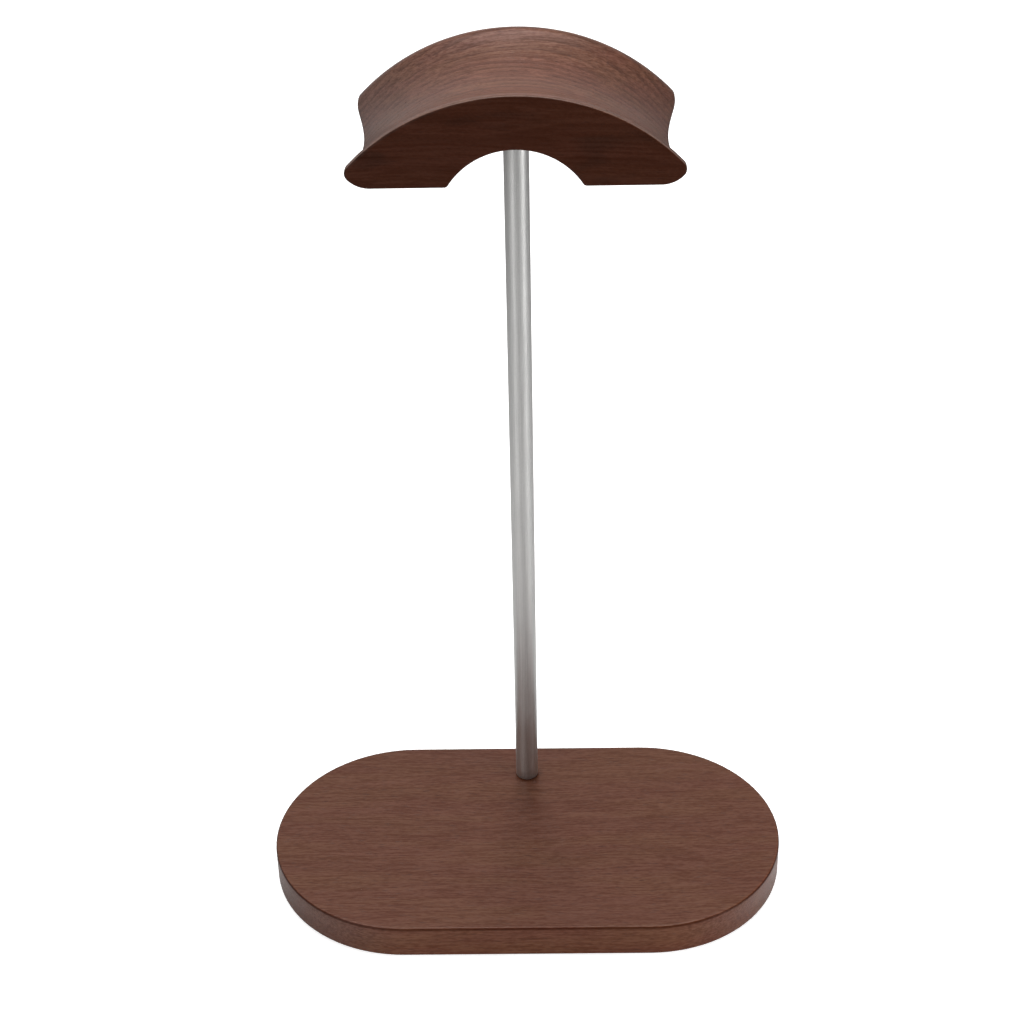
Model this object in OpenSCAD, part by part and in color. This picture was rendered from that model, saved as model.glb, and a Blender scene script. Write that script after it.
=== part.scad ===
// Headphone stand: a stadium-shaped walnut base, a round aluminium rod near its back edge and a
// walnut yoke whose top is a shallow saddle for the headband. Millimetres, +Z up, +X right, +Y back.
// The origin is the centre of the base, on the plane the stand rests on.

/* [Base] */
// Length of the base, end to end
base_w = 180; // [150:1:240]
// Depth of the base, which is also the diameter of its round ends
base_d = 96; // [80:1:130]
// Thickness of the base board
base_t = 12.5; // [11:0.5:16]
// Rounding of the base board's top and bottom edges
base_edge_r = 0.8; // [0.4:0.1:2]

/* [Pad] */
// Thickness of the anti-slip pad under the base
pad_t = 1.5; // [1:0.1:3]
// How far the pad's edge is set back from the base's side
pad_inset = 3; // [1.5:0.5:6]

/* [Rod] */
// Diameter of the rod
rod_d = 8; // [8:0.5:12]
// Length of the rod
rod_len = 260; // [180:1:320]
// Distance from the base's back edge to the rod's axis
rod_setback = 15; // [12:1:30]
// Chamfer on the rod's two ends
rod_chamfer = 0.4; // [0.2:0.1:0.8]

/* [Yoke] */
// Radius of the yoke's two rims, seen from the front
yoke_rim_r = 68; // [60:1:80]
// Depth of the yoke, from its front face to its back face
yoke_depth = 61; // [45:1:80]
// Height of the yoke, from its flat underside to the top of its rims
yoke_h = 28; // [27:0.5:32]
// Depth of the saddle groove between the rims
groove_depth = 5.5; // [3:0.5:6]
// Rounding of the rims' edges
rim_edge_r = 0.7; // [0.5:0.1:2]
// Width of the narrow land between a rim's rounded edge and the groove
rim_land = 1.8; // [0.2:0.1:2]
// Radius of the arch cut out of the yoke's underside
arch_r = 23.5; // [20:0.5:28]
// Height of the arch's crown above the yoke's flat underside
arch_rise = 11.5; // [9:0.5:12]
// Small radius at the outermost point of each tip
tip_r = 2.8; // [2:0.1:4]
// Large radius that leads from each tip into the flat underside
tip_heel_r = 9; // [7:0.5:12]

/* [Fasteners] */
// Thread diameter of the base screw, the stud and the insert
thread_d = 5; // [4:1:5]
// Length of the base screw under its head
screw_len = 20; // [16:1:24]
// Length of the stud that joins the rod to the yoke
stud_len = 18; // [14:1:20]
// Length of the threaded insert in the yoke
insert_len = 7; // [5:0.5:7.5]

/* [Hidden] */
$fn = 96;
EPS = 0.01;                         // overcut that keeps cuts clear of faces
FIT = 0.05;                         // radial gap between a thread and its tapped hole, or an insert and its hole
CUT = 2 * yoke_rim_r;               // longer than any cut through the yoke

rod_y = base_d / 2 - rod_setback;
base_top = pad_t + base_t;
rod_top = base_top + rod_len;

// Fastener proportions, as multiples of the thread diameter
head_d = 1.7 * thread_d;
head_h = thread_d;
head_chamfer = 0.08 * thread_d;
socket_af = 0.8 * thread_d;         // hexagon socket across its flats
socket_h = 0.5 * thread_d;
washer_d = 2 * thread_d;
washer_t = 0.2 * thread_d;
lock_d = 1.84 * thread_d;
lock_t = 0.24 * thread_d;
lock_split = 0.16 * thread_d;
washer_hole_d = 1.07 * thread_d;
stud_socket_af = 0.5 * thread_d;
thread_chamfer = 0.1 * thread_d;

// Counterbore in the base, deep enough to hide the head and both washers
head_recess = 0.3;
bore_d = 2.4 * thread_d;
bore_h = head_recess + head_h + lock_t + washer_t;
clearance_d = 1.1 * thread_d;
pad_hole_d = bore_d + 2;
lock_z = pad_t + head_recess + head_h;
washer_z = lock_z + lock_t;
screw_end = lock_z + screw_len;
tap_spare = 3;                      // tapped depth beyond the end of a screw

// Seat and blind hole for the rod's top end and its insert
seat_depth = 1;
seat_d = rod_d + 0.2;
insert_d = 1.4 * thread_d;
insert_band_h = 0.3 * insert_len;   // height of each knurled band on the insert
insert_hole_h = insert_len + 0.5;
stud_z = rod_top + insert_len - 0.5 - stud_len;

// Heights and centres of the yoke, seen from the front
arch_top = rod_top - seat_depth;
yoke_z = arch_top - arch_rise;
arch_z = arch_top - arch_r;
rim_z = yoke_z + yoke_h - yoke_rim_r;
heel_turn = 47;                     // angle swept by the large tip radius, from the underside
tip_dx = (tip_heel_r - tip_r) * sin(heel_turn);
tip_z = yoke_z + tip_heel_r - (tip_heel_r - tip_r) * cos(heel_turn);
tip_x = sqrt(pow(yoke_rim_r - tip_r, 2) - pow(tip_z - rim_z, 2));
heel_x = tip_x - tip_dx;
heel_z = yoke_z + tip_heel_r;

// Groove arc between the rims' lands
groove_half = yoke_depth / 2 - rim_edge_r - rim_land;
groove_r = (pow(groove_half, 2) + pow(groove_depth, 2)) / (2 * groove_depth);

WALNUT = [0.40, 0.26, 0.20];
ALUMINIUM = [0.66, 0.66, 0.67];
STEEL = [0.50, 0.51, 0.53];
BRASS = [0.78, 0.62, 0.30];
RUBBER = [0.10, 0.10, 0.11];

// Rectangle with round corners, centred on the origin
module rounded_rect(w, h, r) {
    square([w - 2 * r, h], center = true);
    square([w, h - 2 * r], center = true);
    for (x = [-1, 1], y = [-1, 1])
        translate([x * (w / 2 - r), y * (h / 2 - r)]) circle(r);
}

// The right half of a rounded rectangle, for turning about its left side
module half_rounded_rect(w, h, r) {
    intersection() {
        rounded_rect(w, h, r);
        translate([0, -h / 2 - 1]) square([w, h + 2]);
    }
}

// Slab with a stadium outline, from z = 0 upwards, its edges rounded by r
module rounded_stadium(w, d, t, r) {
    translate([0, 0, t / 2]) {
        rotate([90, 0, 90]) linear_extrude(w - d, center = true) rounded_rect(d, t, r);
        for (side = [-1, 1])
            translate([side * (w - d) / 2, 0, 0]) rotate_extrude() half_rounded_rect(d, t, r);
    }
}

// Slab with a stadium outline and square edges, from z = 0 upwards
module plain_stadium(w, d, t) {
    translate([-(w - d) / 2, -d / 2, 0]) cube([w - d, d, t]);
    for (side = [-1, 1])
        translate([side * (w - d) / 2, 0, 0]) cylinder(h = t, d = d);
}

// Cylinder from z = 0 to h with a chamfer c on both of its ends
module chamfered_cylinder(d, h, c) {
    cylinder(h = c, d1 = d - 2 * c, d2 = d);
    translate([0, 0, c]) cylinder(h = h - 2 * c, d = d);
    translate([0, 0, h - c]) cylinder(h = c, d1 = d, d2 = d - 2 * c);
}

// Hexagonal socket, measured across its flats
module hex_socket(af, h) {
    cylinder(h = h, d = af / cos(30), $fn = 6);
}

// The half-section of the yoke's grooved rim, turned about the Y axis to make the saddle
module rim_section() {
    difference() {
        half_rounded_rect(2 * yoke_rim_r, yoke_depth, rim_edge_r);
        translate([yoke_rim_r - groove_depth + groove_r, 0]) circle(groove_r, $fn = 360);
    }
}

// What is left of a sector outside the circle with the same centre: it rounds a corner off
module outside_arc(centre, r, from, to) {
    far = yoke_rim_r;
    function ray(angle, reach) = centre + reach * [cos(angle), sin(angle)];
    difference() {
        polygon([centre, ray(from, far), ray((from + to) / 2, 2 * far), ray(to, far)]);
        translate(centre) circle(r);
    }
}

// What the right-hand tip's two radii take off the sharp corner between rim and underside
module tip_corner() {
    outside_arc([heel_x, heel_z], tip_heel_r, -90, 0);
    outside_arc([tip_x, tip_z], tip_r, heel_turn - 90, atan2(tip_z - rim_z, tip_x));
}

// The yoke's front outline, apart from its rim arc
module yoke_outline() {
    difference() {
        translate([-yoke_rim_r, yoke_z]) square([2 * yoke_rim_r, yoke_h + 1]);
        tip_corner();
        mirror([1, 0]) tip_corner();
        translate([0, arch_z]) circle(arch_r);
    }
}

module base_board() {
    color(WALNUT)
    difference() {
        translate([0, 0, pad_t]) rounded_stadium(base_w, base_d, base_t, base_edge_r);
        translate([0, rod_y, pad_t - EPS]) cylinder(h = bore_h + EPS, d = bore_d);
        translate([0, rod_y, pad_t]) cylinder(h = base_t + EPS, d = clearance_d);
    }
}

module base_pad() {
    color(RUBBER)
    difference() {
        plain_stadium(base_w - 2 * pad_inset, base_d - 2 * pad_inset, pad_t);
        translate([0, rod_y, -EPS]) cylinder(h = pad_t + 2 * EPS, d = pad_hole_d);
    }
}

module rod() {
    tap_d = thread_d + 2 * FIT;
    low_tap = screw_end + tap_spare - base_top;
    high_tap = rod_top - stud_z + tap_spare;
    color(ALUMINIUM)
    translate([0, rod_y, base_top])
    difference() {
        chamfered_cylinder(rod_d, rod_len, rod_chamfer);
        translate([0, 0, -EPS]) cylinder(h = low_tap + EPS, d = tap_d);
        translate([0, 0, rod_len - high_tap]) cylinder(h = high_tap + EPS, d = tap_d);
    }
}

module yoke() {
    color(WALNUT)
    translate([0, rod_y, 0])
    difference() {
        intersection() {
            translate([0, 0, rim_z]) rotate([90, 0, 0]) rotate_extrude($fn = 240) rim_section();
            rotate([90, 0, 0]) linear_extrude(CUT, center = true) yoke_outline();
        }
        translate([0, 0, arch_top - arch_rise]) cylinder(h = arch_rise + seat_depth, d = seat_d);
        translate([0, 0, rod_top - EPS])
            cylinder(h = insert_hole_h + EPS, d = insert_d + 2 * FIT);
    }
}

module base_screw() {
    color(STEEL)
    translate([0, rod_y, pad_t + head_recess])
    difference() {
        union() {
            chamfered_cylinder(head_d, head_h, head_chamfer);
            translate([0, 0, head_h / 2])
                chamfered_cylinder(thread_d, head_h / 2 + screw_len, thread_chamfer);
        }
        translate([0, 0, -EPS]) hex_socket(socket_af, socket_h + EPS);
    }
}

module flat_washer() {
    color(STEEL)
    translate([0, rod_y, washer_z])
    difference() {
        cylinder(h = washer_t, d = washer_d);
        translate([0, 0, -EPS]) cylinder(h = washer_t + 2 * EPS, d = washer_hole_d);
    }
}

module lock_washer() {
    slant = 20;                     // lean of the split, in degrees
    color(STEEL)
    translate([0, rod_y, lock_z])
    difference() {
        cylinder(h = lock_t, d = lock_d);
        translate([0, 0, -EPS]) cylinder(h = lock_t + 2 * EPS, d = washer_hole_d);
        translate([lock_d / 2, 0, lock_t / 2]) rotate([slant, 0, 0])
            cube([lock_d, lock_split, 3 * lock_t], center = true);
    }
}

module yoke_insert() {
    waist_d = insert_d - 0.8;
    color(BRASS)
    translate([0, rod_y, rod_top])
    difference() {
        union() {
            cylinder(h = insert_len, d = waist_d);
            for (z = [0, insert_len - insert_band_h])
                translate([0, 0, z]) cylinder(h = insert_band_h, d = insert_d);
        }
        translate([0, 0, -EPS]) cylinder(h = insert_len + 2 * EPS, d = thread_d + 2 * FIT);
    }
}

module yoke_stud() {
    color(STEEL)
    translate([0, rod_y, stud_z])
    difference() {
        chamfered_cylinder(thread_d, stud_len, thread_chamfer);
        translate([0, 0, -EPS]) hex_socket(stud_socket_af, stud_socket_af + EPS);
    }
}

base_board();
base_pad();
rod();
yoke();
base_screw();
flat_washer();
lock_washer();
yoke_insert();
yoke_stud();
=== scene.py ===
"""A walnut and aluminium headphone stand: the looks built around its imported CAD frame.

Everything is in metres, in the frame's own axes: +Z up, +X right, +Y back.
"""
import math
import bmesh
import bpy
import numpy as np
from mathutils import Matrix, Vector
from mathutils.geometry import delaunay_2d_cdt


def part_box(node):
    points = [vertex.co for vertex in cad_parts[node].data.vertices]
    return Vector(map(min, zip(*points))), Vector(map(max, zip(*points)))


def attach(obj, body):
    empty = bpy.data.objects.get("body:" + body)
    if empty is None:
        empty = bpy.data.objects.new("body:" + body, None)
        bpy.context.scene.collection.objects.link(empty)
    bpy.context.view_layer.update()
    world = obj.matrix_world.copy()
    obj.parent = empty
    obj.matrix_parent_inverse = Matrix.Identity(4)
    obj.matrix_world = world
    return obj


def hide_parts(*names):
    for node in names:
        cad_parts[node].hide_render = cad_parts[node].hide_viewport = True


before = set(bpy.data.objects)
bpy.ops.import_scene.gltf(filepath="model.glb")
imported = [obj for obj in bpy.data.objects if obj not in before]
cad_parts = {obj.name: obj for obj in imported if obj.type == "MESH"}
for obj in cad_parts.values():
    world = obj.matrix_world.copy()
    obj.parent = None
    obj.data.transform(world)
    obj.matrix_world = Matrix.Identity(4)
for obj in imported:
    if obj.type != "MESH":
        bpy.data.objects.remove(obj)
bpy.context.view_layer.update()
MM = 0.001

# Places and sizes that the frame gives
BASE_LO, BASE_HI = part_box("base_board")
PAD_LO, PAD_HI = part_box("base_pad")
ROD_LO, ROD_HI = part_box("rod")
YOKE_LO, YOKE_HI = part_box("yoke")
SCREW_LO, SCREW_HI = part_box("base_screw")
WASHER_LO, WASHER_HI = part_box("flat_washer")
LOCK_LO, LOCK_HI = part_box("lock_washer")
INSERT_LO, INSERT_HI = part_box("yoke_insert")
STUD_LO, STUD_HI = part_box("yoke_stud")
ROD_R = (ROD_HI.x - ROD_LO.x) / 2
ROD_Y = (ROD_LO.y + ROD_HI.y) / 2
AXIS = (0.0, ROD_Y)

# Sizes that a box doesn't show, as in the CAD design
BASE_EDGE = 0.8 * MM
PAD_EDGE = 0.4 * MM
BORE_R, BORE_CEILING = 6.0 * MM, 9.0 * MM          # counterbore under the base
CLEARANCE_R = 2.75 * MM                            # screw hole through the base
PAD_HOLE_R = 7.0 * MM
THREAD_R, THREAD_ROOT_R, PITCH = 2.5 * MM, 2.08 * MM, 0.8 * MM
THREAD_GAP = 0.05 * MM
TAP_SPARE = 3.0 * MM
ROD_CHAMFER = 0.4 * MM
RIM_R, GROOVE, RIM_LAND, RIM_EDGE = 68 * MM, 5.5 * MM, 1.8 * MM, 0.7 * MM
TIP_R, HEEL_R, HEEL_TURN = 2.8 * MM, 9.0 * MM, math.radians(47)
ARCH_R, ARCH_RISE, ARCH_CORNER = 23.5 * MM, 11.5 * MM, 1.4 * MM
SEAT_R, INSERT_HOLE_R = 4.1 * MM, 3.55 * MM
WASHER_HOLE_R = 2.675 * MM
TAU = 2 * math.pi
TO_MM = (1000, 1000, 1000)                         # turns a place in metres into millimetres

# How much of the wood's tone is left on the yoke's darker flat faces
FACE_SHARE = 0.33

# The studio
FLOOR_CENTRE = (0.0, -0.05, 0.0)
FLOOR_NEAR, FLOOR_FAR = 0.15, 0.70                 # where the floor's painted bounce light starts and stops fading
# The floor's tone for all but camera rays, near and far: a painted pool of light round the stand
FLOOR_BRIGHT, FLOOR_DIM = 0.68, 0.36
# Painted pools of light on the floor: direction in degrees and gain of each, and their width in degrees
FLOOR_PAINTED_POOLS, PAINTED_POOL_WIDTH = ((-41, 0.46), (53, 0.56)), 26
FLOOR_SEEN, FLOOR_GLOW = 0.85, 0.68                # the floor's tone and glow for the camera alone
WORLD_FRONT, WORLD_BACK = 0.30, 0.52               # strength of its light from the front and the back
WORLD_LOW, WORLD_RIGHT = 1.3, 0.6                  # what multiplies it low down and on the right


# ---------------------------------------------------------------- mesh tools

class Shell:
    """Collects grids and flat caps, then welds them into one closed mesh."""

    def __init__(self):
        self.bm = bmesh.new()

    def grid(self, rows, around=True):
        """Quads between successive rows of points; around closes each row into a ring."""
        made = [[self.bm.verts.new(p) for p in row] for row in rows]
        for low, high in zip(made, made[1:]):
            count = len(low) if around else len(low) - 1
            for i in range(count):
                j = (i + 1) % len(low)
                self.bm.faces.new((low[i], low[j], high[j], high[i]))

    def cap(self, outer, holes, place, spacing):
        """Fills a flat outline, less its holes, with even triangles; place turns (u, v) into a point."""
        loops = [outer] + holes
        points = [Vector(p) for loop in loops for p in loop]
        edges, start = [], 0
        for loop in loops:
            n = len(loop)
            edges += [(start + i, start + (i + 1) % n) for i in range(n)]
            start += n
        points += [Vector(p) for p in inner_points(outer, holes, spacing)]
        verts, _, faces, _, _, _ = delaunay_2d_cdt(points, edges, [], 1, 1e-9)
        made = [self.bm.verts.new(place(v.x, v.y)) for v in verts]
        middles = np.array([np.mean([verts[i] for i in f], axis=0) for f in faces])
        for hole in holes:
            keep = ~inside(np.array(hole), middles)
            middles = middles[keep]
            faces = [f for f, kept in zip(faces, keep) if kept]
        for f in faces:
            self.bm.faces.new([made[i] for i in f])

    def build(self, name, material, node, crease=50):
        """Welds the mesh, turns its normals outwards and makes it a piece that stands for a CAD node."""
        bm = self.bm
        bmesh.ops.remove_doubles(bm, verts=bm.verts, dist=1e-3 * MM)
        bmesh.ops.recalc_face_normals(bm, faces=bm.faces)
        mesh = bpy.data.meshes.new(name)
        bm.to_mesh(mesh)
        bm.free()
        return finish_piece(mesh, name, material, node, crease)


def finish_piece(mesh, name, material, node, crease):
    mesh.polygons.foreach_set("use_smooth", [True] * len(mesh.polygons))
    mesh.set_sharp_from_angle(angle=math.radians(crease))
    mesh.materials.clear()
    mesh.materials.append(material)
    piece = bpy.data.objects.new(name, mesh)
    bpy.context.scene.collection.objects.link(piece)
    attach(piece, "root")
    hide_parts(node)
    return piece


def inside(loop, points):
    """Whether each point lies inside a closed 2D loop."""
    x, y = points[:, 0], points[:, 1]
    result = np.zeros(len(points), bool)
    for (x0, y0), (x1, y1) in zip(loop, np.roll(loop, -1, axis=0)):
        if y0 != y1:
            crosses = (y0 > y) != (y1 > y)
            result ^= crosses & (x < (x1 - x0) * (y - y0) / (y1 - y0) + x0)
    return result


def inner_points(outer, holes, spacing):
    """Staggered points inside an outline, kept off its edge and its holes."""
    loop = np.array(outer)
    lo, hi = loop.min(0), loop.max(0)
    points = []
    for k, v in enumerate(np.arange(lo[1] + spacing, hi[1], spacing)):
        shift = spacing / 2 * (k % 2)
        points += [(u + shift, v) for u in np.arange(lo[0] + spacing, hi[0], spacing)]
    points = np.array(points)
    points = points[inside(loop, points)]
    for edge in [outer] + holes:
        edge = np.array(edge)
        gap = np.linalg.norm(points[:, None] - edge[None], axis=2).min(1)
        points = points[gap > 0.6 * spacing]
    for hole in holes:
        points = points[~inside(np.array(hole), points)]
    return points


def ring(radius, z, n, centre=AXIS):
    """n points round the vertical axis at centre; radius is a number or one value a point."""
    t = np.arange(n) * TAU / n
    r = np.broadcast_to(radius, (n,))
    return np.column_stack([centre[0] + r * np.cos(t), centre[1] + r * np.sin(t), np.full(n, z)])


def circle(radius, n, centre=AXIS):
    return ring(radius, 0.0, n, centre)[:, :2].tolist()


def quarter(steps):
    """(1 - cos, 1 - sin) pairs round a quarter circle, for rounding an edge."""
    t = np.linspace(0, math.pi / 2, steps + 1)
    return list(zip(1 - np.cos(t), 1 - np.sin(t)))


def hex_ring(across_flats, z, n):
    """A ring that follows a hexagon; n is a multiple of 6, so its corners stay sharp."""
    t = np.arange(n) * TAU / n
    turn = np.mod(t, math.pi / 3) - math.pi / 6
    return ring(across_flats / 2 / np.cos(turn), z, n)


def thread_rows(z0, z1, n, gap=0.0, internal=False, per_pitch=8):
    """Rings from z0 to z1 that carry a right-handed thread, run out at both ends."""
    t = np.arange(n) / n
    rows = []
    for z in np.linspace(z0, z1, max(2, int(abs(z1 - z0) / PITCH * per_pitch)) + 1):
        phase = np.mod(z / PITCH - t, 1.0)
        height = np.clip((0.4375 - np.abs(phase - 0.5)) / 0.3125, 0, 1)
        run_out = min(1.0, abs(z - z0) / PITCH, abs(z1 - z) / PITCH)
        height = 1 - run_out * (1 - height) if internal else run_out * height
        rows.append(ring(THREAD_ROOT_R + gap + (THREAD_R - THREAD_ROOT_R) * height, z, n))
    return rows


# ---------------------------------------------------------------- the pieces

def stadium(length, depth, inset, ends=48, sides=28):
    """Outline points of a stadium, drawn inwards by inset; the point count never changes."""
    r = depth / 2
    reach = length / 2 - r
    points = []
    for side in (1, -1):
        t = np.linspace(-math.pi / 2, math.pi / 2, ends + 1)
        arc = np.column_stack([reach + (r - inset) * np.cos(t), (r - inset) * np.sin(t)]) * side
        run = np.linspace(0, 1, sides + 1)[1:-1, None]
        start, end = arc[-1], np.array([-reach, r - inset]) * side
        points += [arc, start + run * (end - start)]
    return np.vstack(points)


def slab(shell, lo, hi, edge, top_holes, bottom_holes):
    """A stadium slab with rounded edges and a flat cap with holes on each face."""
    length, depth = hi.x - lo.x, hi.y - lo.y
    support = edge + 0.4 * MM
    steps = [(support, lo.z)]
    steps += [(edge * a, lo.z + edge * b) for a, b in reversed(quarter(6))]
    steps += [(0.0, z) for z in np.linspace(lo.z + edge, hi.z - edge, 6)[1:-1]]
    steps += [(edge * a, hi.z - edge * b) for a, b in quarter(6)]
    steps += [(support, hi.z)]
    rows = []
    for inset, z in steps:
        outline = stadium(length, depth, inset)
        rows.append(np.column_stack([outline, np.full(len(outline), z)]))
    shell.grid(rows)
    outline = stadium(length, depth, support).tolist()
    shell.cap(outline, top_holes, lambda u, v: (u, v, hi.z), 3.2 * MM)
    shell.cap(outline, bottom_holes, lambda u, v: (u, v, lo.z), 3.2 * MM)


def make_base_board(material):
    n = 96
    shell = Shell()
    ease = 0.3 * MM                                   # broken edge at each hole's mouth
    slab(shell, BASE_LO, BASE_HI, BASE_EDGE,
         [circle(CLEARANCE_R + ease, n)], [circle(BORE_R + ease, n)])
    shell.grid([
        ring(BORE_R + ease, BASE_LO.z, n), ring(BORE_R, BASE_LO.z + ease, n),
        ring(BORE_R, BORE_CEILING - ease, n), ring(BORE_R - ease, BORE_CEILING, n),
        ring(CLEARANCE_R + ease, BORE_CEILING, n), ring(CLEARANCE_R, BORE_CEILING + ease, n),
        ring(CLEARANCE_R, BASE_HI.z - ease, n), ring(CLEARANCE_R + ease, BASE_HI.z, n)])
    return shell.build("walnut_base", material, "base_board")


def make_base_pad(material):
    n = 96
    shell = Shell()
    mouth = PAD_HOLE_R + PAD_EDGE
    slab(shell, PAD_LO, PAD_HI, PAD_EDGE, [circle(mouth, n)], [circle(mouth, n)])
    rows = [ring(mouth - PAD_EDGE * (1 - b), PAD_LO.z + PAD_EDGE * (1 - math.sqrt(1 - (1 - b) ** 2)), n)
            for b in np.linspace(1, 0, 6)]
    rows += [ring(mouth - PAD_EDGE * (1 - b), PAD_HI.z - PAD_EDGE * (1 - math.sqrt(1 - (1 - b) ** 2)), n)
             for b in np.linspace(0, 1, 6)]
    shell.grid(rows)
    return shell.build("anti_slip_pad", material, "base_pad")


def make_rod(material):
    n = 96
    c = ROD_CHAMFER
    soft = 0.06 * MM                                  # rounding where the chamfer meets the side
    low_tap = SCREW_HI.z + TAP_SPARE
    high_tap = STUD_LO.z - TAP_SPARE
    sink = THREAD_R + THREAD_GAP + 0.25 * MM          # countersink at each tapped hole
    bottom, top = ROD_LO.z, ROD_HI.z
    rows = [ring(0, low_tap + 1.2 * MM, n), ring(THREAD_ROOT_R, low_tap + 0.1 * MM, n)]
    rows += thread_rows(low_tap, bottom + 0.4 * MM, n, THREAD_GAP, internal=True)
    rows += [ring(sink, bottom, n), ring(ROD_R - c - soft, bottom, n)]
    rows += [ring(ROD_R - c + soft, bottom + soft, n), ring(ROD_R - soft, bottom + c - soft, n)]
    rows += [ring(ROD_R, z, n) for z in np.linspace(bottom + c + soft, top - c - soft, 66)]
    rows += [ring(ROD_R - soft, top - c + soft, n), ring(ROD_R - c + soft, top - soft, n)]
    rows += [ring(ROD_R - c - soft, top, n), ring(sink, top, n)]
    rows += thread_rows(top - 0.4 * MM, high_tap, n, THREAD_GAP, internal=True)
    rows += [ring(THREAD_ROOT_R, high_tap - 0.1 * MM, n), ring(0, high_tap - 1.2 * MM, n)]
    shell = Shell()
    shell.grid(rows)
    return shell.build("aluminium_rod", material, "rod", crease=35)


def arc_points(centre, radius, start, end, count):
    """count + 1 points on an arc from angle start to angle end."""
    t = np.linspace(start, end, count + 1)
    return np.column_stack([centre[0] + radius * np.cos(t), centre[1] + radius * np.sin(t)])


class YokeOutline:
    """The yoke's outline in a plane of constant Y, as (x, z) points."""

    def __init__(self):
        self.z0 = YOKE_LO.z
        self.rim = np.array([0.0, YOKE_HI.z - RIM_R])
        self.arch = np.array([0.0, self.z0 + ARCH_RISE - ARCH_R])
        step = HEEL_R - TIP_R
        tip_z = self.z0 + HEEL_R - step * math.cos(HEEL_TURN)
        tip_x = math.sqrt((RIM_R - TIP_R) ** 2 - (tip_z - self.rim[1]) ** 2)
        self.tip = np.array([tip_x, tip_z])
        self.heel = np.array([tip_x - step * math.sin(HEEL_TURN), self.z0 + HEEL_R])
        self.split = HEEL_TURN - math.pi / 2

    def tip_curve(self, rim_r, inset):
        """The tip's curve from where it leaves the circle rim_r down to the flat: points and length."""
        away = self.tip - self.rim
        far = np.linalg.norm(away)
        r = TIP_R - inset
        turn = (rim_r ** 2 - far ** 2 - r ** 2) / (2 * r * far)
        start = math.atan2(away[1], away[0]) - math.acos(max(-1.0, min(1.0, turn)))
        heel_r = HEEL_R - inset
        if start >= self.split:
            small = arc_points(self.tip, r, start, self.split, 24)
            large = arc_points(self.heel, heel_r, self.split, -math.pi / 2, 40)
            return np.vstack([small, large[1:]])
        away = self.heel - self.rim
        far = np.linalg.norm(away)
        turn = (rim_r ** 2 - far ** 2 - heel_r ** 2) / (2 * heel_r * far)
        start = math.atan2(away[1], away[0]) - math.acos(turn)
        return arc_points(self.heel, heel_r, start, -math.pi / 2, 64)

    def half(self, rim_r, inset=0.0):
        """The right half, from the crown round the tip to the arch's crown, drawn in by inset."""
        outer_r = rim_r - inset
        tip = self.tip_curve(outer_r, inset)
        corner = tip[0]
        corner_angle = math.atan2(*(corner - self.rim)[::-1])
        tangent = np.array([math.sin(corner_angle), -math.cos(corner_angle)])
        leaving = (tip[1] - tip[0]) / np.linalg.norm(tip[1] - tip[0])
        bend = math.acos(max(-1.0, min(1.0, float(tangent @ leaving))))
        cut = max(0.35 * MM, 0.9 * MM * math.tan(bend / 2))   # how far the corner is eased
        outer = arc_points(self.rim, outer_r, math.pi / 2, corner_angle + cut / outer_r, 72)
        lengths = np.concatenate([[0], np.cumsum(np.linalg.norm(np.diff(tip, axis=0), axis=1))])
        wanted = np.linspace(cut, lengths[-1], 19)
        lower = np.column_stack([np.interp(wanted, lengths, tip[:, k]) for k in (0, 1)])
        t = np.linspace(0, 1, 6)[1:-1, None]
        eased = (1 - t) ** 2 * outer[-1] + 2 * t * (1 - t) * corner + t ** 2 * lower[0]

        c = ARCH_CORNER
        height = self.z0 + c - self.arch[1]
        pivot = np.array([math.sqrt((ARCH_R + c) ** 2 - height ** 2), self.z0 + c])
        meets = math.atan2(height, pivot[0])
        flat = np.linspace(lower[-1], [pivot[0], self.z0 + inset], 12)[1:-1]
        rounded = arc_points(pivot, c - inset, -math.pi / 2, meets - math.pi, 8)
        arch = arc_points(self.arch, ARCH_R + inset, meets, math.pi / 2, 36)
        return np.vstack([outer, eased, lower, flat, rounded, arch[1:]])

    def loop(self, rim_r, inset=0.0):
        right = self.half(rim_r, inset)
        left = right[-2:0:-1] * [-1, 1]
        return np.vstack([right, left])


def make_yoke(material):
    outline = YokeOutline()
    half = (YOKE_HI.y - YOKE_LO.y) / 2
    reach = half - RIM_EDGE - RIM_LAND
    sweep = (reach ** 2 + GROOVE ** 2) / (2 * GROOVE)
    slices = []
    for angle in np.linspace(0, math.asin(reach / sweep), 30):
        y = sweep * math.sin(angle)
        slices.append((y, RIM_R - (sweep * math.cos(angle) - (sweep - GROOVE)), 0.0))
    for a, b in quarter(6):
        slices.append((half - RIM_EDGE * b, RIM_R, RIM_EDGE * a))
    slices.append((half, RIM_R, RIM_EDGE + 0.15 * MM))
    slices = [(-y, r, inset) for y, r, inset in slices[:0:-1]] + slices
    shell = Shell()
    rows = []
    for y, r, inset in slices:
        loop = outline.loop(r, inset)
        rows.append(np.column_stack([loop[:, 0], np.full(len(loop), ROD_Y + y), loop[:, 1]]))
    shell.grid(rows)
    face = outline.loop(RIM_R, RIM_EDGE + 0.15 * MM).tolist()
    for y in (-half, half):
        shell.cap(face, [], lambda u, v, y=y: (u, ROD_Y + y, v), 2.4 * MM)
    yoke = shell.build("walnut_yoke", material, "yoke")
    drill_yoke(yoke)
    return yoke


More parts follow.
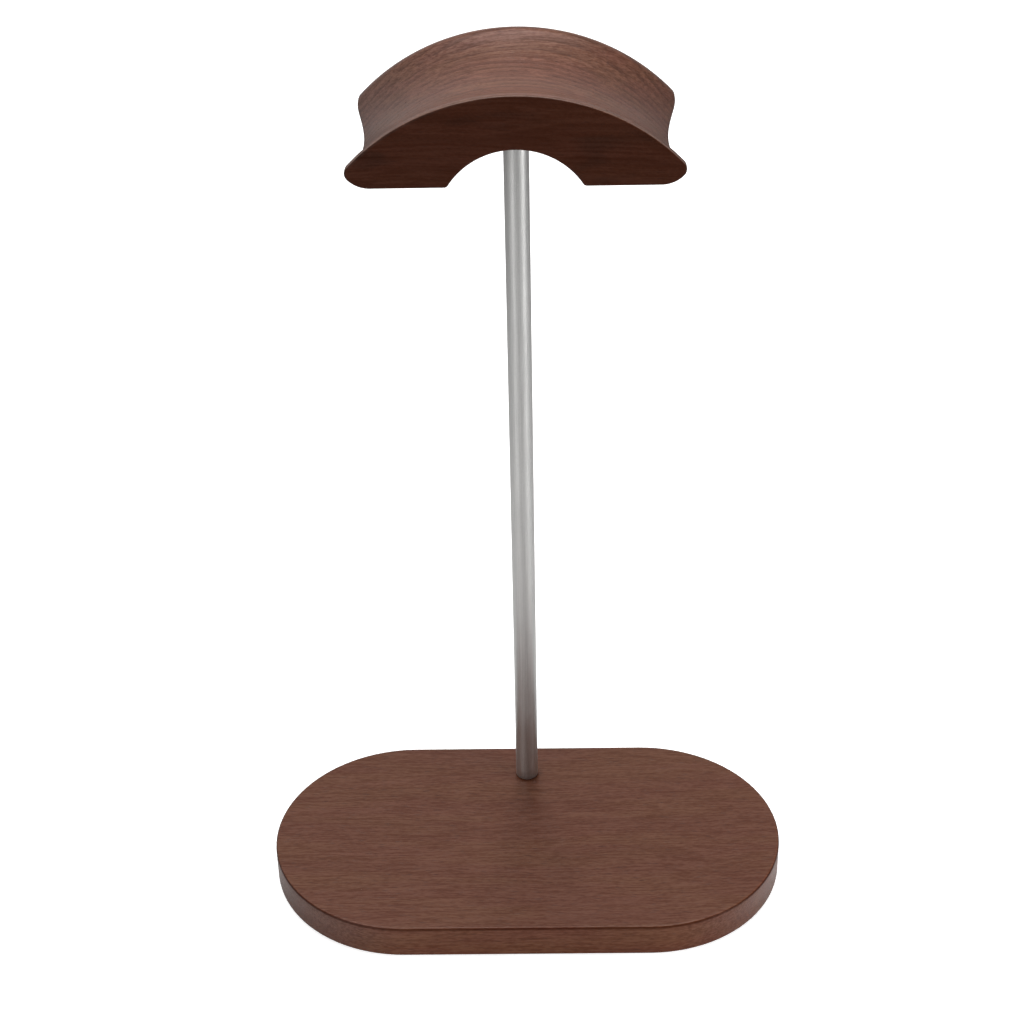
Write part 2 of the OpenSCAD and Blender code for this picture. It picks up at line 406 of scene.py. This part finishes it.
def drill_yoke(yoke):
    """Cuts the rod's seat and the insert's blind hole into the arch's crown."""
    n = 70                                             # no corner lies on the crown's edge at x = 0
    seat, hole_top = ROD_HI.z, INSERT_HI.z + 0.5 * MM
    shell = Shell()
    shell.grid([ring(0, seat - 8 * MM, n), ring(SEAT_R, seat - 8 * MM, n), ring(SEAT_R, seat, n),
                ring(INSERT_HOLE_R, seat, n), ring(INSERT_HOLE_R, hole_top, n), ring(0, hole_top, n)])
    bmesh.ops.remove_doubles(shell.bm, verts=shell.bm.verts, dist=1e-3 * MM)
    bmesh.ops.recalc_face_normals(shell.bm, faces=shell.bm.faces)
    mesh = bpy.data.meshes.new("drill")
    shell.bm.to_mesh(mesh)
    shell.bm.free()
    drill = bpy.data.objects.new("drill", mesh)
    bpy.context.scene.collection.objects.link(drill)
    cut = yoke.modifiers.new("rod_seat", "BOOLEAN")
    cut.operation, cut.solver, cut.object = "DIFFERENCE", "EXACT", drill
    bpy.context.view_layer.update()
    drilled = bpy.data.meshes.new_from_object(yoke.evaluated_get(bpy.context.evaluated_depsgraph_get()))
    yoke.modifiers.clear()
    bpy.data.objects.remove(drill)
    material = yoke.data.materials[0]
    yoke.data = drilled
    yoke.data.name = "walnut_yoke"
    yoke.data.materials.clear()
    yoke.data.materials.append(material)


def make_screw(material):
    n = 144
    head_r = (SCREW_HI.x - SCREW_LO.x) / 2
    z0 = SCREW_LO.z
    seat = LOCK_LO.z
    edge, flats, deep = 0.6 * MM, 4.0 * MM, 2.5 * MM
    t = np.arange(n) * TAU / n
    knurl = 0.09 * MM * (0.5 - 0.5 * np.cos(36 * t))
    rows = [ring(0, z0 + deep + 0.7 * MM, n), ring(1.7 * MM, z0 + deep, n), hex_ring(flats, z0 + deep, n)]
    rows += [hex_ring(flats, z, n) for z in np.linspace(z0 + deep - 0.1 * MM, z0 + 0.25 * MM, 5)]
    rows += [ring(2.42 * MM, z0, n), ring(head_r - edge - 0.1 * MM, z0, n)]
    rows += [ring(head_r - edge * b, z0 + edge * a, n) for a, b in quarter(5)]
    rows += [ring(head_r, z0 + edge + 0.15 * MM, n)]
    rows += [ring(head_r - knurl, z, n) for z in np.linspace(z0 + edge + 0.3 * MM, seat - 0.6 * MM, 6)]
    rows += [ring(head_r, seat - 0.45 * MM, n), ring(head_r, seat - 0.15 * MM, n)]
    rows += [ring(head_r - 0.15 * MM, seat, n), ring(THREAD_R + 0.2 * MM, seat, n)]
    rows += [ring(THREAD_R, seat + 0.2 * MM, n), ring(THREAD_R, seat + 2 * MM, n)]
    rows += thread_rows(seat + 2.3 * MM, SCREW_HI.z - 0.5 * MM, n)
    rows += [ring(THREAD_ROOT_R - 0.2 * MM, SCREW_HI.z, n), ring(0, SCREW_HI.z, n)]
    shell = Shell()
    shell.grid(rows)
    return shell.build("socket_screw", material, "base_screw", crease=35)


def make_flat_washer(material):
    n = 96
    outer = (WASHER_HI.x - WASHER_LO.x) / 2
    hole = WASHER_HOLE_R
    z0, z1 = WASHER_LO.z, WASHER_HI.z
    r = 0.3 * MM                                       # the stamped side is rounded, the other sharp
    rows = [ring(outer - r * a, z0 + r * b, n) for a, b in reversed(quarter(4))]
    rows += [ring(outer, z1 - 0.08 * MM, n), ring(outer - 0.08 * MM, z1, n)]
    rows += [ring(hole + 0.08 * MM, z1, n), ring(hole, z1 - 0.08 * MM, n)]
    rows += [ring(hole + r * a, z0 + r * b, n) for a, b in quarter(4)]
    rows.append(rows[0])
    shell = Shell()
    shell.grid(rows)
    return shell.build("plain_washer", material, "flat_washer", crease=35)


def make_lock_washer(material):
    """A split ring of rounded square wire, its ends cut on a slant."""
    outer, hole = 4.6 * MM, WASHER_HOLE_R
    z0, z1 = LOCK_LO.z, LOCK_HI.z
    bevel, gap, slant = 0.15 * MM, 0.4 * MM, math.tan(math.radians(20))
    section = [(hole, z0 + bevel), (hole + bevel, z0), (outer - bevel, z0), (outer, z0 + bevel),
               (outer, z1 - bevel), (outer - bevel, z1), (hole + bevel, z1), (hole, z1 - bevel)]
    middle = (z0 + z1) / 2
    rows = []
    for share in np.linspace(0, 1, 97):
        row = []
        for r, z in section:
            lean = (z - middle) * slant
            start, end = (gap - lean) / r, TAU - (gap + lean) / r
            angle = start + (end - start) * share
            row.append((r * math.cos(angle), ROD_Y + r * math.sin(angle), z))
        rows.append(row)
    shell = Shell()
    shell.grid(rows)
    for row in (rows[0], rows[-1]):
        shell.bm.faces.new([shell.bm.verts.new(p) for p in row])
    return shell.build("spring_washer", material, "lock_washer", crease=35)


def make_insert(material):
    n = 144
    z0, z1 = INSERT_LO.z, INSERT_HI.z
    outer, waist = (INSERT_HI.x - INSERT_LO.x) / 2, 3.1 * MM
    band = 0.3 * (z1 - z0)
    t = np.arange(n) * TAU / n
    teeth = 0.16 * MM * (0.5 - 0.5 * np.cos(36 * t))
    rows = []
    for low, high in ((z0, z0 + band), (z1 - band, z1)):
        rows += [ring(outer - 0.25 * MM, low, n)]
        rows += [ring(outer - teeth, z, n) for z in np.linspace(low + 0.2 * MM, high - 0.2 * MM, 5)]
        rows += [ring(outer - 0.25 * MM, high, n)]
        if low == z0:
            rows += [ring(waist, high, n), ring(waist, z1 - band, n)]
    sink = THREAD_R + THREAD_GAP + 0.2 * MM
    rows += [ring(sink, z1, n)]
    rows += thread_rows(z1 - 0.3 * MM, z0 + 0.3 * MM, n, THREAD_GAP, internal=True)
    rows += [ring(sink, z0, n), rows[0]]
    shell = Shell()
    shell.grid(rows)
    return shell.build("brass_insert", material, "yoke_insert", crease=35)


def make_stud(material):
    n = 96
    z0, z1 = STUD_LO.z, STUD_HI.z
    flats, deep = 2.5 * MM, 2.5 * MM
    rows = [ring(0, z0 + deep + 0.4 * MM, n), ring(1.05 * MM, z0 + deep, n), hex_ring(flats, z0 + deep, n)]
    rows += [hex_ring(flats, z, n) for z in np.linspace(z0 + deep - 0.1 * MM, z0 + 0.15 * MM, 4)]
    rows += [ring(1.5 * MM, z0, n), ring(THREAD_ROOT_R - 0.1 * MM, z0, n)]
    rows += thread_rows(z0 + 0.4 * MM, z1 - 0.4 * MM, n)
    rows += [ring(THREAD_ROOT_R - 0.2 * MM, z1, n), ring(1.1 * MM, z1, n), ring(0, z1 - 0.5 * MM, n)]
    shell = Shell()
    shell.grid(rows)
    return shell.build("set_screw_stud", material, "yoke_stud", crease=35)


# ---------------------------------------------------------------- materials

class Graph:
    """A short way to write a node tree: each call adds a node and returns its main output."""

    def __init__(self, name):
        self.material = bpy.data.materials.new(name)
        self.material.use_nodes = True
        self.tree = self.material.node_tree
        self.shader = self.tree.nodes["Principled BSDF"]

    def node(self, kind, output=0, settings=None, **inputs):
        node = self.tree.nodes.new(kind)
        for key, value in (settings or {}).items():
            setattr(node, key, value)
        for key, value in inputs.items():
            socket = node.inputs[int(key[1:])] if key[0] == "i" and key[1:].isdigit() else node.inputs[key]
            self.put(socket, value)
        return node.outputs[output]

    def put(self, socket, value):
        if isinstance(value, bpy.types.NodeSocket):
            self.tree.links.new(value, socket)
        else:
            socket.default_value = value

    def math(self, operation, a, b=0.0, clamp=False):
        settings = {"operation": operation, "use_clamp": clamp}
        return self.node("ShaderNodeMath", settings=settings, i0=a, i1=b)

    def vector(self, operation, a, b=(0, 0, 0)):
        return self.node("ShaderNodeVectorMath", settings={"operation": operation}, i0=a, i1=b)

    def stretch(self, vector, x, y, z):
        """The vector with each axis divided by a length, so that features come out that long."""
        return self.vector("MULTIPLY", vector, (1 / x, 1 / y, 1 / z))

    def noise(self, vector, detail=2.0, roughness=0.5, output=0):
        return self.node("ShaderNodeTexNoise", output, Vector=vector, Scale=1.0, Detail=detail,
                         Roughness=roughness)

    def band(self, value, low, high, to_low=0.0, to_high=1.0, smooth=True):
        """Maps low..high to to_low..to_high, held at both ends."""
        kind = "SMOOTHSTEP" if smooth else "LINEAR"
        return self.node("ShaderNodeMapRange", settings={"interpolation_type": kind}, i0=value, i1=low,
                         i2=high, i3=to_low, i4=to_high)

    def blend(self, share, a, b, mode="MIX"):
        """A colour between a and b."""
        node = self.tree.nodes.new("ShaderNodeMix")
        node.data_type, node.blend_type = "RGBA", mode
        self.put(node.inputs[0], share)
        self.put(node.inputs[6], a)
        self.put(node.inputs[7], b)
        return node.outputs[2]

    def bump(self, height, depth, normal=None):
        """A bump whose height of 0 to 1 is depth metres."""
        node = self.tree.nodes.new("ShaderNodeBump")
        node.inputs["Strength"].default_value = 1.0
        node.inputs["Distance"].default_value = depth
        self.put(node.inputs["Height"], height)
        if normal is not None:
            self.put(node.inputs["Normal"], normal)
        return node.outputs[0]

    def surface(self, **inputs):
        for key, value in inputs.items():
            self.put(self.shader.inputs[key.replace("_", " ")], value)
        return self.material


def rgb(r, g, b):
    return (r, g, b, 1.0)


def walnut(name, dark, light, heart, pith, ring_gap, ring_share, fibre_len, hair_len, hair_share, gloss):
    """Solid walnut with its grain along X, worked out at every point of the wood.

    dark and light are the wood's two tones and heart its late wood. pith is the (y, z) in mm of
    the middle of the tree, ring_gap the width of a growth ring in mm and ring_share its contrast,
    fibre_len and hair_len the lengths in mm of its coarse and fine fibres, hair_share the weight
    of the fine ones in the tone, and gloss the middle of its gloss.
    Returns the graph, the colour and the gloss, so that each piece can add its own edges.
    """
    g = Graph(name)
    place = g.node("ShaderNodeTexCoord", 3)
    mm = g.vector("SUBTRACT", g.vector("MULTIPLY", place, TO_MM), (0, *pith))
    drift = g.noise(g.stretch(mm, 90, 40, 40), 1.0, output=1)
    drift = g.vector("MULTIPLY", g.vector("SUBTRACT", drift, (0.5, 0.5, 0.5)), (0, 9, 9))
    sway = g.noise(g.stretch(mm, 22, 9, 9), 1.0, output=1)
    sway = g.vector("MULTIPLY", g.vector("SUBTRACT", sway, (0.5, 0.5, 0.5)), (0, 1.3, 1.3))
    grain = g.vector("ADD", g.vector("ADD", mm, drift), sway)

    # Growth rings: each pales slowly, then darkens at its late wood
    across = g.vector("MULTIPLY", grain, (0, 1, 1))
    radius = g.node("ShaderNodeVectorMath", 1, {"operation": "LENGTH"}, i0=across)
    rings = g.math("FRACT", g.math("DIVIDE", radius, ring_gap))
    late = g.math("MULTIPLY", g.band(rings, 0.15, 0.92), g.band(rings, 1.0, 0.93))
    year = g.noise(g.stretch(grain, 200, 4, 4), 2.0, 0.6)
    late = g.math("MULTIPLY", late, g.band(year, 0.28, 0.62))

    # Fibres in three sizes, and broad changes of tone and hue
    hair = g.noise(g.stretch(grain, hair_len, 0.50, 0.50), 1.0, 0.5)
    fibre = g.noise(g.stretch(grain, fibre_len, 0.70, 0.70), 1.0, 0.5)
    cord = g.noise(g.stretch(grain, 35, 3.2, 3.2), 2.0, 0.5)
    broad = g.noise(g.stretch(grain, 85, 18, 18), 2.0, 0.5)
    hue = g.noise(g.stretch(g.vector("ADD", grain, (77, 31, 9)), 55, 7, 7), 2.0, 0.5)

    def pores(length, width, size, offset):
        """Open pores, as short dark dashes along the grain."""
        cell = g.node("ShaderNodeTexVoronoi", 0,
                      Vector=g.stretch(g.vector("ADD", grain, offset), length, width, width), Scale=1.0)
        return g.band(cell, size, size * 0.35)

    small, large = pores(4.5, 0.62, 0.30, (0, 0, 0)), pores(9.0, 1.10, 0.20, (3, 5, 8))
    pore = g.math("MAXIMUM", g.math("MULTIPLY", small, 0.6), large)

    tone = g.math("ADD", g.math("MULTIPLY", fibre, 0.85 - hair_share), g.math("MULTIPLY", hair, hair_share))
    tone = g.math("ADD", tone, g.math("MULTIPLY", cord, 0.08))
    tone = g.math("ADD", tone, g.math("MULTIPLY", broad, 0.07))
    colour = g.blend(g.band(tone, 0.40, 0.60, smooth=False), rgb(*dark), rgb(*light))
    late = g.math("MULTIPLY", late, ring_share)
    colour = g.blend(late, colour, rgb(*heart))
    gloss = g.math("MULTIPLY", g.band(tone, 0.40, 0.60, 0.80 * gloss, 1.20 * gloss, smooth=False),
                   g.math("SUBTRACT", 1.0, g.math("MULTIPLY", late, 0.5)))
    golden = g.blend(1.0, colour, rgb(1.04, 1.07, 0.94), "MULTIPLY")
    ruddy = g.blend(1.0, colour, rgb(1.01, 0.95, 0.93), "MULTIPLY")
    colour = g.blend(g.band(hue, 0.35, 0.65), ruddy, golden)
    pitted = g.blend(1.0, colour, rgb(0.56, 0.50, 0.47), "MULTIPLY")
    colour = g.blend(g.math("MULTIPLY", pore, 0.8), colour, pitted)

    height = g.math("SUBTRACT", g.math("MULTIPLY", hair, 0.4), pore)
    rough = g.math("ADD", g.band(fibre, 0.3, 0.7, 0.30, 0.38), g.math("MULTIPLY", pore, 0.18))

    # A few specks of dust, each about 0.3 mm across
    speck = g.node("ShaderNodeTexVoronoi", 0, Vector=g.vector("MULTIPLY", place, TO_MM),
                   Scale=1 / 11.0)
    speck = g.band(speck, 0.017, 0.010)
    colour = g.blend(g.math("MULTIPLY", speck, 0.5), colour, rgb(0.40, 0.34, 0.30))
    g.surface(Roughness=rough, Normal=g.bump(height, 0.025 * MM))
    return g, place, colour, gloss


def end_grain(g, colour, amount):
    """Wood cut across its fibres, where stain soaks in deeper, multiplied by amount."""
    normal = g.node("ShaderNodeNewGeometry", 1)
    across = g.math("ABSOLUTE", g.node("ShaderNodeSeparateXYZ", 0, i0=normal))
    return tint(g, g.band(across, 0.12, 0.85, smooth=False), colour, amount)


def tint(g, share, colour, amount):
    """The colour multiplied by amount, as far as share goes."""
    return g.blend(share, colour, g.blend(1.0, colour, rgb(*amount), "MULTIPLY"))


def walnut_board():
    """The base's wood: fine straight grain, a darker band just under the top edge and a painted highlight
    along it.
    """
    g, place, colour, gloss = walnut(
        "walnut_board", dark=(0.0735, 0.0216, 0.0094), light=(0.1055, 0.0364, 0.0184),
        heart=(0.056, 0.0176, 0.0082), pith=(-60, -190), ring_gap=5.0, ring_share=0.15,
        fibre_len=13, hair_len=2.3, hair_share=0.42, gloss=0.45)
    colour = end_grain(g, colour, (0.66, 0.62, 0.60))
    z = g.node("ShaderNodeSeparateXYZ", 2, i0=place)
    under = g.math("SUBTRACT", BASE_HI.z, z)                     # depth below the top face
    # A darker band just under the top edge, with less gloss there
    line = g.math("MULTIPLY", g.band(under, 0.08 * MM, 0.30 * MM), g.band(under, 1.3 * MM, 0.6 * MM))
    colour = tint(g, line, colour, (0.50, 0.42, 0.38))
    # Painted highlight: a thin lighter line right along the top edge
    painted_edge_highlight = g.math("MULTIPLY", g.band(under, 0.002 * MM, 0.02 * MM), g.band(under, 0.16 * MM, 0.06 * MM))
    colour = tint(g, painted_edge_highlight, colour, (1.12, 1.14, 1.16))
    shine = g.math("MULTIPLY", gloss, g.band(under, 0.02 * MM, 0.25 * MM, 1.0, 0.5))
    shine = g.math("MULTIPLY", shine, g.math("SUBTRACT", 1.0, g.math("MULTIPLY", line, 0.6)))
    return g.surface(Base_Color=colour, Specular_IOR_Level=shine)


def walnut_carved():
    """The yoke's wood: growth rings that follow the groove, darker flat faces and a painted highlight along
    the rims.
    """
    g, place, colour, gloss = walnut(
        "walnut_carved", dark=(0.088, 0.0256, 0.0108), light=(0.154, 0.0560, 0.0310),
        heart=(0.050, 0.0158, 0.0080), pith=(190, 215), ring_gap=3.1, ring_share=0.6,
        fibre_len=90, hair_len=1.3, hair_share=0.33, gloss=0.5)
    colour = end_grain(g, colour, (0.40, 0.37, 0.36))
    middle = g.math("ABSOLUTE", g.math("SUBTRACT", g.node("ShaderNodeSeparateXYZ", 1, i0=place), ROD_Y))
    half = (YOKE_HI.y - YOKE_LO.y) / 2
    # The flat front and back faces are darker than the rest of the wood
    skin = g.band(middle, half - 0.65 * RIM_EDGE, half - 0.15 * RIM_EDGE)
    dark_face = tint(g, 1.0, colour, (FACE_SHARE, FACE_SHARE * 0.82, FACE_SHARE * 0.74))
    colour = g.blend(skin, colour, g.blend(0.6, dark_face, rgb(0.033, 0.0090, 0.0038)))
    # Painted highlight: a thin lighter, greyer line on the rounding of each rim
    rim = g.math("MULTIPLY", g.band(middle, half - 1.15 * RIM_EDGE, half - 0.9 * RIM_EDGE),
                 g.band(middle, half - 0.45 * RIM_EDGE, half - 0.65 * RIM_EDGE))
    colour = g.blend(g.math("MULTIPLY", rim, 0.25), colour, rgb(0.26, 0.20, 0.17))
    cloud = g.noise(g.stretch(g.vector("MULTIPLY", place, TO_MM), 30, 30, 9), 2.0, 0.5)
    colour = tint(g, g.math("MULTIPLY", skin, g.band(cloud, 0.54, 0.68)), colour, (0.74, 0.78, 0.80))
    shine = g.math("MULTIPLY", g.math("SUBTRACT", 1.0, g.math("MULTIPLY", skin, 0.8)), gloss)
    return g.surface(Base_Color=colour, Specular_IOR_Level=shine)


def satin_aluminium():
    """Bead-blasted, clear-anodised aluminium: a soft sparkle with very fine drawing lines along it."""
    g = Graph("satin_aluminium")
    mm = g.vector("MULTIPLY", g.node("ShaderNodeTexCoord", 3), TO_MM)
    grit = g.noise(g.stretch(mm, 0.16, 0.16, 0.16), 2.0, 0.7)
    cloud = g.noise(g.stretch(mm, 5, 5, 22), 2.0, 0.5)
    drawn = g.noise(g.stretch(mm, 0.25, 0.25, 30), 2.0, 0.6)
    tone = g.math("ADD", g.math("MULTIPLY", grit, 0.6), g.math("MULTIPLY", drawn, 0.4))
    colour = g.blend(g.band(tone, 0.35, 0.65), rgb(0.44, 0.437, 0.430), rgb(0.58, 0.577, 0.567))
    rough = g.math("ADD", g.band(grit, 0.3, 0.7, 0.40, 0.50), g.band(cloud, 0.3, 0.7, -0.03, 0.03))
    return g.surface(Base_Color=colour, Metallic=1.0, Roughness=rough, Normal=g.bump(grit, 0.012 * MM))


def plated_steel():
    """Zinc-plated steel: bright, slightly blue, with a fine turned grain and dull patches."""
    g = Graph("plated_steel")
    mm = g.vector("MULTIPLY", g.node("ShaderNodeTexCoord", 3), TO_MM)
    grit = g.noise(g.stretch(mm, 0.12, 0.12, 0.12), 2.0, 0.6)
    patch = g.noise(g.stretch(mm, 1.6, 1.6, 1.6), 3.0, 0.6)
    colour = g.blend(g.band(patch, 0.35, 0.7), rgb(0.52, 0.54, 0.57), rgb(0.66, 0.66, 0.64))
    rough = g.math("ADD", g.band(patch, 0.3, 0.7, 0.22, 0.36), g.math("MULTIPLY", grit, 0.06))
    return g.surface(Base_Color=colour, Metallic=1.0, Roughness=rough, Normal=g.bump(grit, 0.006 * MM))


def turned_brass():
    g = Graph("turned_brass")
    mm = g.vector("MULTIPLY", g.node("ShaderNodeTexCoord", 3), TO_MM)
    lines = g.noise(g.stretch(mm, 4, 4, 0.08), 2.0, 0.6)
    tarnish = g.noise(g.stretch(mm, 2, 2, 2), 3.0, 0.6)
    colour = g.blend(g.band(tarnish, 0.4, 0.75), rgb(0.80, 0.60, 0.26), rgb(0.52, 0.36, 0.15))
    rough = g.band(tarnish, 0.3, 0.8, 0.20, 0.42)
    return g.surface(Base_Color=colour, Metallic=1.0, Roughness=rough, Normal=g.bump(lines, 0.005 * MM))


def pad_rubber():
    """Matt black rubber with a moulded stipple and a little dust."""
    g = Graph("pad_rubber")
    mm = g.vector("MULTIPLY", g.node("ShaderNodeTexCoord", 3), TO_MM)
    stipple = g.node("ShaderNodeTexVoronoi", 0, Vector=mm, Scale=1 / 0.55)
    dust = g.noise(g.stretch(mm, 14, 14, 14), 5.0, 0.65)
    colour = g.blend(g.band(dust, 0.48, 0.72), rgb(0.018, 0.018, 0.019), rgb(0.045, 0.043, 0.041))
    rough = g.band(stipple, 0.1, 0.7, 0.62, 0.82)
    raised = g.bump(g.band(stipple, 0.55, 0.1), 0.06 * MM)
    return g.surface(Base_Color=colour, Roughness=rough, Normal=raised)


# ---------------------------------------------------------------- the stage

def make_floor():
    """A pale floor that the camera sees as an even white; what it throws back is painted light, fading with
    distance and brighter in two pools.
    """
    size = 8.0
    mesh = bpy.data.meshes.new("floor")
    corners = [(-size, -size, 0), (size, -size, 0), (size, size, 0), (-size, size, 0)]
    mesh.from_pydata(corners, [], [(0, 1, 2, 3)])
    floor = bpy.data.objects.new("floor", mesh)
    bpy.context.scene.collection.objects.link(floor)
    g = Graph("studio_floor")
    place = g.vector("SUBTRACT", g.node("ShaderNodeTexCoord", 3), FLOOR_CENTRE)
    away = g.node("ShaderNodeVectorMath", 1, {"operation": "LENGTH"}, i0=place)
    seen = g.node("ShaderNodeLightPath", 0)
    painted_bounce = g.band(away, FLOOR_NEAR, FLOOR_FAR, FLOOR_BRIGHT, FLOOR_DIM)
    around = g.vector("SUBTRACT", g.node("ShaderNodeTexCoord", 3), (0, ROD_Y, 0))
    split = g.node("ShaderNodeSeparateXYZ", i0=around).node
    towards = g.math("ARCTAN2", split.outputs[0], g.math("MULTIPLY", split.outputs[1], -1.0))
    for angle, gain in FLOOR_PAINTED_POOLS:                   # painted pools of light in front, seen in the rod
        off = g.math("ABSOLUTE", g.math("SUBTRACT", towards, math.radians(angle)))
        painted_pool = g.band(off, 0.0, math.radians(PAINTED_POOL_WIDTH), 1.0 + gain, 1.0)
        painted_bounce = g.math("MULTIPLY", painted_bounce, painted_pool)
    unseen = g.math("MULTIPLY", g.math("SUBTRACT", 1.0, seen), painted_bounce)
    grey = g.math("ADD", g.math("MULTIPLY", seen, FLOOR_SEEN), unseen)
    colour = g.node("ShaderNodeCombineColor", i0=grey, i1=grey, i2=grey)
    glow = g.math("MULTIPLY", seen, FLOOR_GLOW)
    mesh.materials.append(g.surface(Base_Color=colour, Roughness=1.0, Specular_IOR_Level=0.0,
                                    Emission_Color=rgb(1, 1, 1), Emission_Strength=glow))


def make_world():
    """White studio light, weaker from the camera's side, above and the right; the camera sees white."""
    world = bpy.data.worlds.new("studio")
    bpy.context.scene.world = world
    world.use_nodes = True
    tree = world.node_tree
    nodes, links = tree.nodes, tree.links
    background = nodes["Background"]
    place = nodes.new("ShaderNodeTexCoord")
    split = nodes.new("ShaderNodeSeparateXYZ")
    links.new(place.outputs["Generated"], split.inputs[0])

    def ramp(source, low, high, to_low, to_high):
        node = nodes.new("ShaderNodeMapRange")
        node.interpolation_type = "SMOOTHSTEP"
        for index, value in ((1, low), (2, high), (3, to_low), (4, to_high)):
            node.inputs[index].default_value = value
        links.new(source, node.inputs[0])
        return node.outputs[0]

    def times(a, b):
        node = nodes.new("ShaderNodeMath")
        node.operation = "MULTIPLY"
        links.new(a, node.inputs[0])
        links.new(b, node.inputs[1])
        return node.outputs[0]

    level = times(ramp(split.outputs["Y"], -0.8, 0.4, WORLD_FRONT, WORLD_BACK),
                  ramp(split.outputs["Z"], -0.1, 0.8, WORLD_LOW, 1.0))
    level = times(level, ramp(split.outputs["X"], -0.1, 0.7, 1.0, WORLD_RIGHT))
    seen = nodes.new("ShaderNodeLightPath")
    mix = nodes.new("ShaderNodeMix")
    mix.data_type = "FLOAT"
    links.new(seen.outputs["Is Camera Ray"], mix.inputs[0])
    links.new(level, mix.inputs[2])
    mix.inputs[3].default_value = 1.0
    links.new(mix.outputs[0], background.inputs["Strength"])
    background.inputs["Color"].default_value = rgb(1, 1, 1)


def add_softbox(name, place, aim, width, height, watts, glossy=True):
    """A soft light at place that faces aim; glossy False keeps it out of reflections."""
    data = bpy.data.lights.new(name, "AREA")
    data.shape, data.size, data.size_y, data.energy = "RECTANGLE", width, height, watts
    lamp = bpy.data.objects.new(name, data)
    lamp.location = place
    lamp.rotation_euler = (Vector(aim) - Vector(place)).to_track_quat("-Z", "Y").to_euler()
    lamp.visible_camera, lamp.visible_glossy = False, glossy
    bpy.context.scene.collection.objects.link(lamp)


def add_camera(place, yaw, pitch, roll, focal_mm):
    """A camera at place that looks along +Y, turned left by yaw, down by pitch and over by roll."""
    data = bpy.data.cameras.new("camera")
    data.sensor_width, data.lens = 36.0, focal_mm
    data.clip_start, data.clip_end = 0.01, 50
    camera = bpy.data.objects.new("camera", data)
    turn = (Matrix.Rotation(math.radians(yaw), 4, "Z") @ Matrix.Rotation(math.radians(90 - pitch), 4, "X")
            @ Matrix.Rotation(math.radians(roll), 4, "Z"))
    camera.matrix_world = Matrix.Translation(place) @ turn
    bpy.context.scene.collection.objects.link(camera)
    bpy.context.scene.camera = camera


base_wood = walnut_board()
yoke_wood = walnut_carved()
metal = satin_aluminium()
steel = plated_steel()

make_base_board(base_wood)
make_base_pad(pad_rubber())
make_rod(metal)
make_yoke(yoke_wood)
make_screw(steel)
make_flat_washer(steel)
make_lock_washer(steel)
make_insert(turned_brass())
make_stud(steel)

make_floor()
make_world()
add_softbox("overhead", (0.0, 0.15, 1.1), (0.0, 0.03, 0.1), 0.9, 0.7, 5.0)
add_softbox("back_light", (-0.02, 0.50, 0.95), (0.0, 0.0, 0.05), 0.26, 0.26, 4.6, glossy=False)
add_softbox("right_key", (0.92, -0.44, 0.20), (0.0, 0.0, 0.06), 0.6, 0.36, 8.2, glossy=False)
add_softbox("left_fill", (-0.60, -0.75, 0.60), (0.0, 0.0, 0.12), 0.8, 0.6, 3.2)
add_softbox("left_strip", (-0.30, -0.34, 0.13), (0, ROD_Y, 0.12), 0.10, 0.24, 0.16)
add_softbox("right_strip", (0.40, -0.23, 0.13), (0, ROD_Y, 0.12), 0.10, 0.24, 0.30)
add_camera((0.00657, -0.54009, 0.49410), 1.015, 32.463, -1.212, 69.90)
bpy.context.scene.view_settings.view_transform = "Standard"
